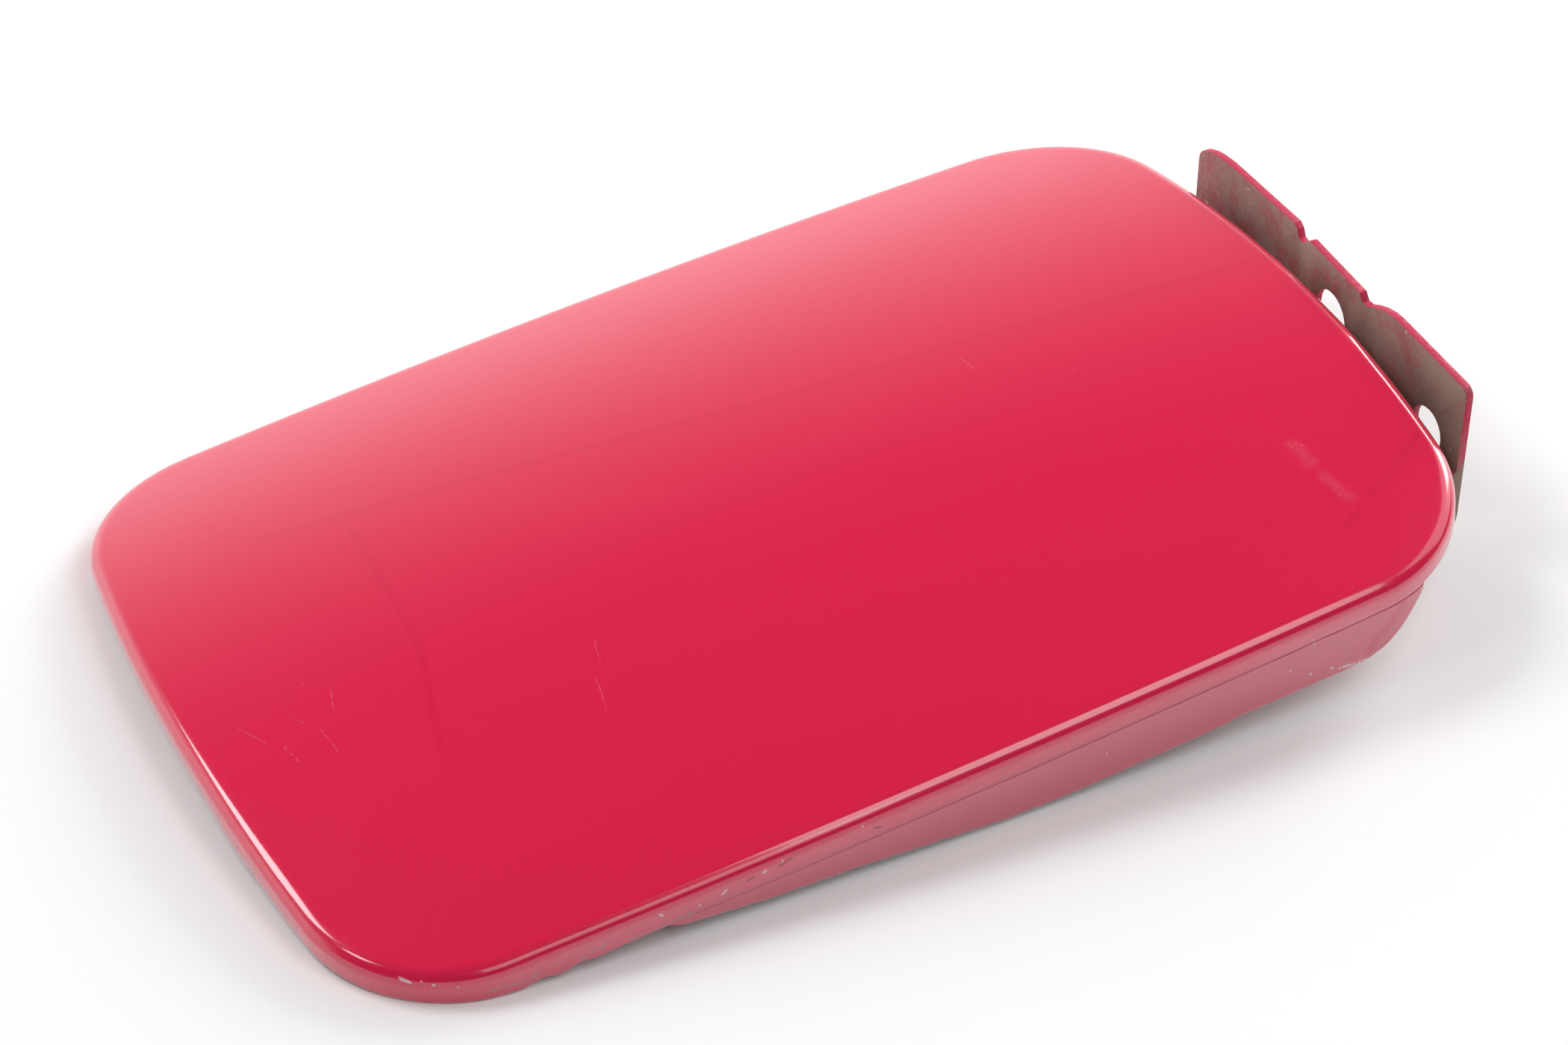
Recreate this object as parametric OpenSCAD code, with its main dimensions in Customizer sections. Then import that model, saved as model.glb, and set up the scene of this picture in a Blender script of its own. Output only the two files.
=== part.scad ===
// Fuel filler door of a car body, lying as it comes to rest: a crowned pressed skin over an
// inner panel with deep side skirts, hinged by a pin to a bracket that bolts to the car.
// X runs along the door towards the hinge, Y across it, Z up. The door rests on its free end
// and on the foot of the bracket, so its own frame is tilted about the hinge pin.

/* [Door outline] */
// Length of the door between its corners' chord
door_chord_l = 203.7; // [190:0.1:210]
// Width of the door between its corners' chord
door_chord_w = 140; // [130:0.5:150]
// How far the long sides bulge out
long_rise = 2.3; // [1:0.1:4]
// How far the short ends bulge out
end_rise = 6.2; // [4:0.1:8]
// Corner radius at the free end
free_corner_r = 26.6; // [25:0.1:32]
// Corner radius at the hinge end
hinge_corner_r = 27.8; // [25:0.1:32]
// Drop of the crown from the middle to a long edge
cross_crown = 6.6; // [5:0.1:8]
// Drop of the crown from the middle to a short end
long_crown = 1.2; // [0.6:0.1:2]

/* [Sheet metal] */
// Thickness of the outer skin
skin_t = 0.9; // [0.7:0.05:1.1]
// Thickness of the inner panel
panel_t = 0.8; // [0.6:0.05:1]
// Outside radius where the skin turns down
edge_r = 2.5; // [2:0.1:3]
// Depth of the skin's rim at the free end
rim_free = 5.7; // [5:0.1:6.5]
// Depth of the skin's rim at the hinge end
rim_hinge = 4.6; // [4:0.1:5]
// Depth of the skirts below the skin's edge
skirt_depth = 14.8; // [12:0.1:16]
// Level of the inner panel's floor below the crown
floor_drop = 8.6; // [8:0.1:9]
// Level of the inner panel's middle plateau below the crown
plateau_drop = 5.2; // [4.5:0.1:6]

/* [Hinge] */
// Diameter of the hinge pin
pin_d = 6; // [5:0.5:6.5]
// Radial clearance of the pin in the door's ears
pin_clearance = 0.06; // [0.03:0.01:0.1]
// Distance of the pin from the far face of the bracket
pin_back = 9.5; // [9:0.1:10.5]
// Height of the pin above the foot of the bracket
pin_height = 6.5; // [6:0.1:7]
// Place of the pin along the door, from the free end's chord
pin_u = 204.2; // [202:0.1:206]
// Depth of the pin below the crown
pin_drop = 24.5; // [24:0.1:25]
// Angle at which the door's ears reach down to the pin
ear_lean = 25; // [15:1:30]

/* [Body bracket] */
// Width of the bracket
bracket_w = 86; // [84:0.5:90]
// Middle of the bracket, off the door's middle line
bracket_y = -1.3; // [-3:0.1:0]
// Height of the bracket's plate
bracket_h = 33.7; // [32:0.1:35]
// Sheet thickness of the bracket
bracket_t = 1.5; // [1.2:0.1:1.8]
// Outside radius of the bend between plate and foot
foot_bend_r = 5; // [4:0.5:6]
// Length of the foot
foot_l = 10.5; // [9:0.5:11]
// How far the middle tab is set towards the door at its near end
joggle_near = 1.1; // [0.4:0.1:1.3]
// How far the middle tab is set towards the door at its far end
joggle_far = 0.6; // [0.4:0.1:1]
// Middle of the tab and of the hole pattern, off the door's middle line
tab_y = -4.5; // [-6:0.5:0]
// Half width of the middle tab
tab_half = 8.3; // [7:0.1:9]
// Distance between the two outer holes
hole_pitch = 60; // [56:1:62]
// Height of the outer holes
hole_z = 17.6; // [17:0.1:19]
// Diameter of the outer holes
hole_d = 8.6; // [8:0.1:9]
// Height of the middle hole
mid_hole_z = 22.7; // [22:0.1:24]
// Diameter of the middle hole
mid_hole_d = 10; // [9:0.5:11]

/* [Hidden] */

// Steps along each part of the outline: half of an end, each corner, a long side
END_STEPS = 4;
HINGE_CORNER_STEPS = 14;
FREE_CORNER_STEPS = 9;
SIDE_STEPS = 12;
ROUND = 64;
// Inset beyond which the rings shrink towards the middle instead of following the outline
DEEP_INSET = 20;
// Inset of the bonded land where the panel meets the skin
LAND_OUT = 3.4;
LAND_IN = 9;
// Inset where the panel's floor begins
FLOOR_INSET = 14;
// Share of the deep ring at which the floor ends and the plateau begins
FLOOR_SHARE = 0.84;
PLATEAU_SHARE = 0.78;
// Gap left for adhesive between the land and the skin
BOND = 0.05;
// How far the skirt stands back from the rim's face
SKIRT_SET = 0.3;
// How far the hidden flange stops short of the rim's lower edge
FLANGE_SHORT = 0.7;

// Length of the joggle's slopes at the tab's sides, and the heights between which it rises
JOGGLE_RUN = 3;
JOGGLE_LOW = 13;
JOGGLE_HIGH = 16.5;
BEND_STEPS = 12;
// Rounding of the far top corner and of the near one
FAR_CORNER_R = 3;
NEAR_CORNER_R = 2;
// Boss round the pin on the bracket's and on the door's ears
BRACKET_BOSS_R = 5.5;
DOOR_BOSS_R = 4.6;
EAR_GAP = 0.5;
// Length of the solids that cut right through the bracket's sheet
CUT_L = 10;

mid_u = door_chord_l / 2;
half_w = door_chord_w / 2;
cross_k = cross_crown / pow(half_w, 2);
long_k = long_crown / pow(mid_u, 2);
near_y = bracket_y - bracket_w / 2;
far_y = bracket_y + bracket_w / 2;
ear_out = bracket_w / 2 - bracket_t - EAR_GAP;
floor_under = floor_drop + panel_t;

// Crown: height of the skin over a point of the door
function crown(p) = -cross_k * pow(p[1], 2) - long_k * pow(p[0] - mid_u, 2);

// Outline of the door, from circles: two sides, two ends and the corners that join them
function bulge_r(chord, rise) = (pow(chord, 2) / 4 + pow(rise, 2)) / (2 * rise);
function meet(a, ra, b, rb) =
    let (d = norm(b - a), k = (ra * ra - rb * rb + d * d) / (2 * d), e = (b - a) / d)
    [for (side = [-1, 1]) a + k * e + side * sqrt(ra * ra - k * k) * [-e[1], e[0]]];
function lowest(pair) = pair[0][1] < pair[1][1] ? pair[0] : pair[1];
function heading(from, to) = atan2(to[1] - from[1], to[0] - from[0]);
function arc(c, r, a0, a1, n) =
    [for (i = [0 : n - 1]) c + r * [cos(a0 + (a1 - a0) * i / n), sin(a0 + (a1 - a0) * i / n)]];

side_r = bulge_r(door_chord_l, long_rise);
end_r = bulge_r(door_chord_w, end_rise);
side_c = [mid_u, side_r - half_w - long_rise];
hinge_c = [door_chord_l + end_rise - end_r, 0];
free_c = [end_r - end_rise, 0];
hinge_corner_c = lowest(meet(side_c, side_r - hinge_corner_r, hinge_c, end_r - hinge_corner_r));
free_corner_c = lowest(meet(side_c, side_r - free_corner_r, free_c, end_r - free_corner_r));

function near_half(inset) =
    let (a1 = heading(hinge_c, hinge_corner_c), a2 = heading(side_c, hinge_corner_c),
         a3 = heading(side_c, free_corner_c), a4 = heading(free_c, free_corner_c))
    concat(arc(hinge_c, end_r - inset, 0, a1, END_STEPS),
           arc(hinge_corner_c, hinge_corner_r - inset, a1, a2, HINGE_CORNER_STEPS),
           arc(side_c, side_r - inset, a2, a3, SIDE_STEPS),
           arc(free_corner_c, free_corner_r - inset, a3, a4, FREE_CORNER_STEPS),
           arc(free_c, end_r - inset, a4, -180, END_STEPS),
           [free_c - [end_r - inset, 0]]);
function outline(inset) =
    let (near = near_half(inset), last = len(near) - 1)
    concat(near, [for (i = [last - 1 : -1 : 1]) [near[i][0], -near[i][1]]]);
function shrunk(share) = [for (p = outline(DEEP_INSET)) [mid_u, 0] + share * (p - [mid_u, 0])];

edge_line = outline(0);
RING = len(edge_line);
// Depth of the rim, of the panel's flange inside it and of the skirts, round the outline
function rim_depth(p) = rim_free + (rim_hinge - rim_free) * p[0] / door_chord_l;
skirt_edge = [[43, 0.28], [50, 0.47], [66, 0.63], [80, 0.71], [108, 0.96], [120, 1], [149.8, 1],
              [151.2, 0.97], [174, 1], [177.5, 0.985], [181, 0.9], [184.5, 0.73], [191.5, 0.27]];
function skirt(p) = abs(p[1]) < half_w - 5 ? 0 : skirt_depth * lookup(p[0], skirt_edge);
function has_skirt(p) = min(1, max(0, (skirt(p) - rim_depth(p)) / 1.5));
function wall_depth(p) = max(rim_depth(p) - FLANGE_SHORT, skirt(p) > rim_depth(p) ? skirt(p) : 0);

// Angle at which the door lies: turned about the pin until its rim meets the plane of the foot
function rest_angle(along, above) =
    atan2(above, along) + asin(pin_height / norm([along, above]));
door_tilt = min([for (p = edge_line) rest_angle(pin_u - p[0], pin_drop + crown(p) - rim_depth(p))]);
// Half of the whole length, from the free end to the far face of the bracket
end_above = pin_drop + crown([-end_rise, 0]) - edge_r;
plate_x = ((pin_u + end_rise) * cos(door_tilt) + end_above * sin(door_tilt) + pin_back) / 2;
pin_x = plate_x - pin_back;

// A ring of points at an inset, each so far below the crown or at one level
function under_crown(flat, drop) = [for (p = flat) [p[0], p[1], crown(p) - drop]];
function level(flat, z) = [for (p = flat) [p[0], p[1], z]];
function below_edge(flat, depths) =
    [for (i = [0 : RING - 1]) [flat[i][0], flat[i][1], crown(edge_line[i]) - depths[i]]];
function mixed(a, b, shares) =
    [for (i = [0 : RING - 1]) a[i] + (b[i] - a[i]) * shares[i]];

// Roll of the skin's edge: an arc that leaves the crown at the crown's own slope
rolled = outline(edge_r);
edge_slope = [for (i = [0 : RING - 1])
    atan2(crown(rolled[i]) - crown(edge_line[i]), edge_r)];
roll_start = mixed(edge_line, rolled, [for (s = edge_slope) 1 - sin(s)]);
roll_level = [for (i = [0 : RING - 1]) crown(roll_start[i]) - edge_r * cos(edge_slope[i])];
function roll_ring(r, share) =
    let (angle = [for (s = edge_slope) s + (90 - s) * share],
         flat = mixed(edge_line, rolled, [for (a = angle) 1 - sin(a) * r / edge_r]))
    [for (i = [0 : RING - 1]) [flat[i][0], flat[i][1], roll_level[i] + r * cos(angle[i])]];

// Closed solid through a stack of rings, with a point in the middle of each end
module ring_solid(first, rings, last) {
    count = len(rings);
    points = concat([first], [for (r = rings) each r], [last]);
    start = [for (k = [0 : count - 1]) 1 + k * RING];
    polyhedron(points, concat(
        [for (i = [0 : RING - 1]) [0, start[0] + i, start[0] + (i + 1) % RING]],
        [for (k = [0 : count - 2]) for (i = [0 : RING - 1])
            [start[k] + i, start[k + 1] + i, start[k] + (i + 1) % RING]],
        [for (k = [0 : count - 2]) for (i = [0 : RING - 1])
            [start[k] + (i + 1) % RING, start[k + 1] + i, start[k + 1] + (i + 1) % RING]],
        [for (i = [0 : RING - 1])
            [start[count - 1] + i, len(points) - 1, start[count - 1] + (i + 1) % RING]]));
}

// Places a piece of the door: turned about the pin to the angle at which the door lies
module in_door() {
    translate([pin_x, 0, pin_height])
        rotate([0, -door_tilt, 0])
            translate([-pin_u, 0, pin_drop])
                children();
}

module outer_skin() {
    rim = [for (p = edge_line) rim_depth(p)];
    color("crimson")
        in_door()
            ring_solid([mid_u, 0, 0],
                concat([for (s = [0.25, 0.5, 0.75, 1]) under_crown(shrunk(s), 0)],
                       [for (d = [FLOOR_INSET, LAND_IN, 5.5]) under_crown(outline(d), 0)],
                       [for (s = [0 : 0.25 : 1]) roll_ring(edge_r, s)],
                       [below_edge(edge_line, rim), below_edge(outline(skin_t), rim)],
                       [for (s = [3 : -1 : 0]) roll_ring(edge_r - skin_t, s / 3)],
                       [for (d = [LAND_OUT, LAND_IN, FLOOR_INSET])
                            under_crown(outline(d), skin_t)],
                       [for (s = [1, 0.75, 0.5, 0.25]) under_crown(shrunk(s), skin_t)]),
                [mid_u, 0, -skin_t]);
}

module panel_sheet() {
    skirted = [for (p = edge_line) has_skirt(p)];
    wall = [for (p = edge_line) wall_depth(p)];
    shoulder = [for (i = [0 : RING - 1])
        min(wall[i] - 0.2, rim_depth(edge_line[i]) + 0.1 - 0.4 * (1 - skirted[i]))];
    step = [for (i = [0 : RING - 1]) min(wall[i] - 0.1, shoulder[i] + 0.6)];
    tucked = outline(skin_t + BOND);
    tucked_back = outline(skin_t + BOND + panel_t);
    face = mixed(tucked, outline(SKIRT_SET), skirted);
    inside = mixed(tucked_back, outline(SKIRT_SET + panel_t), skirted);
    top_depth = [for (p = edge_line) edge_r + 0.6];
    land_top = skin_t + BOND;
    ring_solid([mid_u, 0, -plateau_drop],
        concat([level(shrunk(PLATEAU_SHARE), -plateau_drop),
                level(shrunk(FLOOR_SHARE), -floor_drop),
                level(outline(FLOOR_INSET), -floor_drop),
                under_crown(outline(LAND_IN), land_top),
                under_crown(outline(LAND_OUT), land_top),
                below_edge(outline(skin_t + 0.6), [for (p = edge_line) edge_r - 0.6]),
                below_edge(tucked, top_depth),
                below_edge(tucked, shoulder),
                below_edge(face, step),
                below_edge(face, wall),
                below_edge(inside, wall),
                below_edge(inside, [for (i = [0 : RING - 1]) step[i] - 0.05]),
                below_edge(tucked_back, [for (d = shoulder) d - 0.05]),
                below_edge(tucked_back, top_depth),
                under_crown(outline(LAND_OUT + 0.4), land_top + panel_t),
                under_crown(outline(LAND_IN + 0.4), land_top + panel_t),
                level(outline(FLOOR_INSET + 0.4), -floor_under),
                level(shrunk(FLOOR_SHARE - 0.004), -floor_under),
                level(shrunk(PLATEAU_SHARE - 0.004), -plateau_drop - panel_t)]),
        [mid_u, 0, -plateau_drop - panel_t]);
}

stop_u = 20;
stop_v = 43;
stop_stem_r = 3;
module inner_panel() {
    color("indianred")
        in_door()
            difference() {
                panel_sheet();
                for (side = [-1, 1])
                    translate([stop_u, side * stop_v, -floor_under - 1])
                        cylinder(h = panel_t + 2, r = stop_stem_r, $fn = ROUND);
            }
}

// Channel spot-welded under the panel's floor, whose two ears run on the pin
channel_t = 1.2;
channel_from = 168;
channel_to = 201;
// Half width of the ear's arm at the pin, and depth of the flange that carries the arm
arm_half = 3.4;
flange_heel = 2;
flange_toe = 1.5;
toe_run = 6;
module channel_ear() {
    foot_v = -floor_under - channel_t;
    reach = pin_drop + foot_v;
    head_u = pin_u - reach * tan(ear_lean);
    rotate([90, 0, 0])
        linear_extrude(height = channel_t)
            difference() {
                union() {
                    polygon([[channel_from, -floor_under], [channel_to, -floor_under],
                             [pin_u + DOOR_BOSS_R * cos(ear_lean),
                              -pin_drop + DOOR_BOSS_R * sin(ear_lean)],
                             [pin_u - arm_half * cos(ear_lean),
                              -pin_drop - arm_half * sin(ear_lean)],
                             [head_u - toe_run, foot_v - flange_heel],
                             [channel_from + toe_run, foot_v - flange_toe],
                             [channel_from, foot_v]]);
                    translate([pin_u, -pin_drop])
                        circle(r = DOOR_BOSS_R, $fn = ROUND);
                }
                translate([pin_u, -pin_drop])
                    circle(r = pin_d / 2 + pin_clearance, $fn = ROUND);
            }
}
module door_hinge_channel() {
    color("silver")
        in_door() {
            translate([channel_from, bracket_y - ear_out, -floor_under - channel_t])
                cube([channel_to - channel_from, 2 * ear_out, channel_t]);
            for (v = [bracket_y + ear_out, bracket_y - ear_out + channel_t])
                translate([0, v, 0])
                    channel_ear();
        }
}

// Shallow hat of sheet steel with a slot that the body's catch enters, near the free end
keeper_u = 9;
keeper_t = 1;
keeper_l = 18;
keeper_w = 44;
hat_w = 26;
hat_h = 1.9;
slot_l = 6;
slot_w = 14;
module latch_keeper() {
    under = -floor_under;
    color("silver")
        in_door()
            translate([keeper_u, 0, 0])
                difference() {
                    union() {
                        translate([0, -keeper_w / 2, under - keeper_t])
                            cube([keeper_l, keeper_w, keeper_t]);
                        translate([0, -hat_w / 2, under - keeper_t - hat_h])
                            cube([keeper_l, hat_w, keeper_t + hat_h]);
                    }
                    translate([-1, -hat_w / 2 + keeper_t, under - hat_h])
                        cube([keeper_l + 2, hat_w - 2 * keeper_t, hat_h + 1]);
                    translate([(keeper_l - slot_l) / 2, -slot_w / 2, under - 5])
                        cube([slot_l, slot_w, 5]);
                }
}

// Rubber button pushed through a hole in the panel's floor
module bump_stop(side) {
    pad_r = 6.5;
    pad_h = 2.3;
    pad_bevel = 1;
    bulb_r = 4.2;
    bulb_h = 2;
    bulb_taper = 1.4;
    stem_r = stop_stem_r - BOND;
    color("dimgray")
        in_door()
            translate([stop_u, side * stop_v, -floor_under])
                rotate_extrude($fn = ROUND)
                    polygon([[0, -pad_h], [pad_r - pad_bevel, -pad_h],
                             [pad_r, pad_bevel - pad_h], [pad_r, 0],
                             [stem_r, 0], [stem_r, panel_t], [bulb_r, panel_t],
                             [bulb_r - bulb_taper, panel_t + bulb_h], [0, panel_t + bulb_h]]);
}

// Bracket: a notched plate, bent round into a short foot, with an ear at each side
function bend(r) =
    [for (i = [0 : BEND_STEPS])
        [-foot_bend_r + r * cos(90 * i / BEND_STEPS), foot_bend_r - r * sin(90 * i / BEND_STEPS)]];
function reversed(list) = [for (i = [len(list) - 1 : -1 : 0]) list[i]];
module bracket_section() {
    polygon(concat([[0, JOGGLE_LOW]], bend(foot_bend_r), [[-foot_l, 0], [-foot_l, bracket_t]],
                   reversed(bend(foot_bend_r - bracket_t)), [[-bracket_t, JOGGLE_LOW]]));
}
module bracket_face() {
    far_c = [far_y - FAR_CORNER_R, bracket_h - 2 - FAR_CORNER_R];
    near_c = [near_y + NEAR_CORNER_R, bracket_h - 1.3 - NEAR_CORNER_R];
    lip = tab_y + tab_half;
    back = tab_y - tab_half;
    polygon(concat(
        [[near_y, JOGGLE_LOW - 1], [far_y, JOGGLE_LOW - 1]],
        [for (a = [0 : 15 : 60]) far_c + FAR_CORNER_R * [cos(a), sin(a)]],
        [[far_y - 4.2, bracket_h - 1.3], [far_y - 6.5, bracket_h - 0.8],
         [far_y - 10, bracket_h - 0.4], [lip + 6.2, bracket_h], [lip + 5.1, bracket_h - 0.7],
         [lip + 4.3, bracket_h - 2.2], [lip + 3.2, bracket_h - 2.5],
         [lip + 1, bracket_h - 0.7], [lip, bracket_h],
         [back, bracket_h - 0.5], [back - 0.8, bracket_h - 2.2], [back - 1.8, bracket_h - 2.5],
         [back - 5.5, bracket_h - 1], [back - 8, bracket_h - 0.4],
         [back - 10, bracket_h - 0.3]],
        [for (a = [90 : 15 : 180]) near_c + NEAR_CORNER_R * [cos(a), sin(a)]]));
}
// Solid between band-shaped profiles of equally many points, each at its own height
module lofted(profiles, heights) {
    count = len(profiles[0]);
    levels = len(profiles);
    top = (levels - 1) * count;
    polyhedron(
        [for (k = [0 : levels - 1]) for (p = profiles[k]) [p[0], p[1], heights[k]]],
        concat(
            [for (i = [0 : count / 2 - 2]) [count - 1 - i, count - 2 - i, i + 1, i]],
            [for (k = [0 : levels - 2]) for (i = [0 : count - 1])
                let (j = (i + 1) % count, low = k * count, high = low + count)
                each [[low + i, low + j, high + i], [low + j, high + j, high + i]]],
            [for (i = [0 : count / 2 - 2])
                [top + i, top + i + 1, top + count - 2 - i, top + count - 1 - i]]));
}
// Plan of the plate: its far face, then its face towards the door, with the tab set back
function plate_plan(far_set, near_set) =
    let (lip = tab_y + tab_half, back = tab_y - tab_half,
         face = [[0, far_y], [0, lip + JOGGLE_RUN], [-far_set, lip], [-near_set, back],
                 [0, back - JOGGLE_RUN], [0, near_y]])
    concat(face, [for (p = reversed(face)) p - [bracket_t, 0]]);
module bracket_plate() {
    flat = plate_plan(0, 0);
    joggled = plate_plan(joggle_far, joggle_near);
    intersection() {
        lofted([flat, flat, joggled, joggled],
               [JOGGLE_LOW - 1, JOGGLE_LOW, JOGGLE_HIGH, bracket_h + 1]);
        translate([-CUT_L, 0, 0])
            rotate([90, 0, 90])
                linear_extrude(height = 2 * CUT_L)
                    bracket_face();
    }
}
module bracket_ear() {
    rotate([90, 0, 0])
        linear_extrude(height = bracket_t)
            union() {
                polygon(concat([[-0.4, 16.4], [0, 18.4]], bend(foot_bend_r),
                               [[-foot_l, 0], [-foot_l, pin_height],
                                [-pin_back + 3, 11.4], [-1.4, 15]]));
                translate([-pin_back, pin_height])
                    circle(r = BRACKET_BOSS_R, $fn = ROUND);
            }
}
module body_bracket() {
    color("rosybrown")
        translate([plate_x, 0, 0])
            difference() {
                union() {
                    bracket_plate();
                    translate([0, far_y, 0])
                        rotate([90, 0, 0])
                            linear_extrude(height = bracket_w)
                                bracket_section();
                    for (y = [far_y, near_y + bracket_t])
                        translate([0, y, 0])
                            bracket_ear();
                }
                for (side = [-1, 1])
                    translate([-CUT_L / 2, tab_y + side * hole_pitch / 2, hole_z])
                        rotate([0, 90, 0])
                            cylinder(h = CUT_L, d = hole_d, $fn = ROUND);
                translate([-CUT_L / 2, tab_y, mid_hole_z])
                    rotate([0, 90, 0])
                        cylinder(h = CUT_L, d = mid_hole_d, $fn = ROUND);
                translate([-pin_back, far_y + 1, pin_height])
                    rotate([90, 0, 0])
                        cylinder(h = bracket_w + 2, d = pin_d, $fn = ROUND);
            }
}

// Pin with a flat head at the near side and a groove for the clip at the far one
head_r = 4.5;
head_t = 1.6;
head_bevel = 0.4;
groove_r = 2.3;
groove_w = 0.9;
tail_l = 2.6;
tail_bevel = 0.6;
// Play between the bracket's far ear and the clip, and the clip's outer radius
clip_play = 0.1;
clip_r = 5;
module hinge_pin() {
    r = pin_d / 2;
    half = bracket_w / 2;
    groove = half + clip_play;
    end = half + tail_l;
    color("gainsboro")
        translate([pin_x, bracket_y, pin_height])
            rotate([-90, 0, 0])
                rotate_extrude($fn = ROUND)
                    polygon([[0, -half - head_t], [head_r - head_bevel, -half - head_t],
                             [head_r, -half - head_t + head_bevel], [head_r, -half], [r, -half],
                             [r, groove], [groove_r, groove],
                             [groove_r, groove + groove_w], [r, groove + groove_w],
                             [r, end - tail_bevel], [r - tail_bevel, end], [0, end]]);
}
module pin_clip() {
    mouth = groove_r * 0.8;
    color("darkgray")
        translate([pin_x, far_y + clip_play, pin_height])
            rotate([-90, 0, 0])
                linear_extrude(height = groove_w - clip_play)
                    difference() {
                        circle(r = clip_r, $fn = ROUND);
                        circle(r = groove_r, $fn = ROUND);
                        translate([-mouth, 0])
                            square([2 * mouth, clip_r + 1]);
                    }
}

outer_skin();
inner_panel();
door_hinge_channel();
latch_keeper();
bump_stop(-1);  // bump_stop_near
bump_stop(1);  // bump_stop_far
body_bracket();
hinge_pin();
pin_clip();
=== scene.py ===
# %% [markdown]
# A fuel filler door is the painted flap that hides a car's filler neck. This one lies on a pale
# table, taken off the car with the bracket it swings on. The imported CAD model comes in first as
# a frame: every later piece is placed by it, in metres, and rides on one of its bodies.

# %% Load the CAD model as the frame
import math
import bpy
from mathutils import Matrix, Quaternion, Vector


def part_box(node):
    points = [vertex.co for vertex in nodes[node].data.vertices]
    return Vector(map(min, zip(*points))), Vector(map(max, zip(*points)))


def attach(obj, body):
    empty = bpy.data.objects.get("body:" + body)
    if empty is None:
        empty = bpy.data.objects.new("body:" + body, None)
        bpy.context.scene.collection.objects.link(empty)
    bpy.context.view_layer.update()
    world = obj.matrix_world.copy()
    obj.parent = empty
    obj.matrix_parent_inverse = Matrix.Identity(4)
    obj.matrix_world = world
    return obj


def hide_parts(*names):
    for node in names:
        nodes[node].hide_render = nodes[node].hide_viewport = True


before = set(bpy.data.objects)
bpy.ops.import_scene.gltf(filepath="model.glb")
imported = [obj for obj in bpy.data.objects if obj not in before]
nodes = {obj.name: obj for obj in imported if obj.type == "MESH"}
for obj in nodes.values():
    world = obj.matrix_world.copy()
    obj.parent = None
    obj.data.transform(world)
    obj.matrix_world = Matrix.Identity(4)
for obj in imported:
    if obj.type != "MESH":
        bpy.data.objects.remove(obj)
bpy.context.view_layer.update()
MM = 0.001
print("CAD nodes:", sorted(nodes))

# %% [markdown]
# The door doesn't lie level. It rests on its free end and on the foot of the bracket, so it is
# turned about the hinge pin. Its shapes are simpler in its own frame, in millimetres: u along
# it from the free end, v across, w up from the top of the crown. One matrix takes that frame
# to the table's, and the pin that the CAD model holds says where the two meet.

# %% The door's own frame
PIN_U, PIN_DROP = 204.2, 24.5
DOOR_TILT = math.radians(5.3735)

pin_low, pin_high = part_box("hinge_pin")
PIN = Vector(((pin_low.x + pin_high.x) / 2, 0, (pin_low.z + pin_high.z) / 2))
DOOR_TO_TABLE = (Matrix.Translation(PIN) @ Matrix.Rotation(-DOOR_TILT, 4, "Y")
                 @ Matrix.Scale(MM, 4) @ Matrix.Translation((-PIN_U, 0, PIN_DROP)))
print("Pin at", [round(c, 4) for c in PIN])

# %% [markdown]
# The door's outline is four shallow arcs, two long sides and two ends, joined by rounder
# corners. Each point of it is kept with the direction straight inwards, so that the same rays
# carry the rim, the hem and the panel inside: a place is a ray and an inset.

# %% Measures of the outline
CHORD_L, CHORD_W = 203.7, 140.0
LONG_RISE, END_RISE = 2.3, 6.2
FREE_CORNER_R, HINGE_CORNER_R = 26.6, 27.8
CROSS_CROWN, LONG_CROWN = 6.6, 1.2
MID_U, HALF_W = CHORD_L / 2, CHORD_W / 2
ARC_STEPS = {"hinge_end": 40, "hinge_corner": 44, "side": 150, "free_corner": 44, "free_end": 44}


def crown(u, v):
    """Height of the skin's surface over a point of the door."""
    return -CROSS_CROWN * (v / HALF_W) ** 2 - LONG_CROWN * ((u - MID_U) / MID_U) ** 2


def bulge_radius(chord, rise):
    return (chord ** 2 / 4 + rise ** 2) / (2 * rise)


def lower_meeting(a, ra, b, rb):
    """The lower of the two points at distance ra from a and rb from b."""
    d = (b - a).length
    k = (ra ** 2 - rb ** 2 + d ** 2) / (2 * d)
    e = (b - a) / d
    h = math.sqrt(ra ** 2 - k ** 2)
    return min((a + k * e + s * h * Vector((-e.y, e.x)) for s in (-1, 1)), key=lambda p: p.y)


SIDE_R, END_R = bulge_radius(CHORD_L, LONG_RISE), bulge_radius(CHORD_W, END_RISE)
SIDE_C = Vector((MID_U, SIDE_R - HALF_W - LONG_RISE))
HINGE_C = Vector((CHORD_L + END_RISE - END_R, 0))
FREE_C = Vector((END_R - END_RISE, 0))
HINGE_CORNER_C = lower_meeting(SIDE_C, SIDE_R - HINGE_CORNER_R, HINGE_C, END_R - HINGE_CORNER_R)
FREE_CORNER_C = lower_meeting(SIDE_C, SIDE_R - FREE_CORNER_R, FREE_C, END_R - FREE_CORNER_R)
print("Corners turn about", HINGE_CORNER_C, "and", FREE_CORNER_C)

# %% The outline as rays


def heading(a, b):
    return math.atan2(b.y - a.y, b.x - a.x)


def arc_rays(centre, radius, start, end, steps):
    """Rays of one arc: the point on the edge, and the way inwards."""
    for i in range(steps):
        a = start + (end - start) * i / steps
        out = Vector((math.cos(a), math.sin(a)))
        yield centre + radius * out, -out


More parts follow.
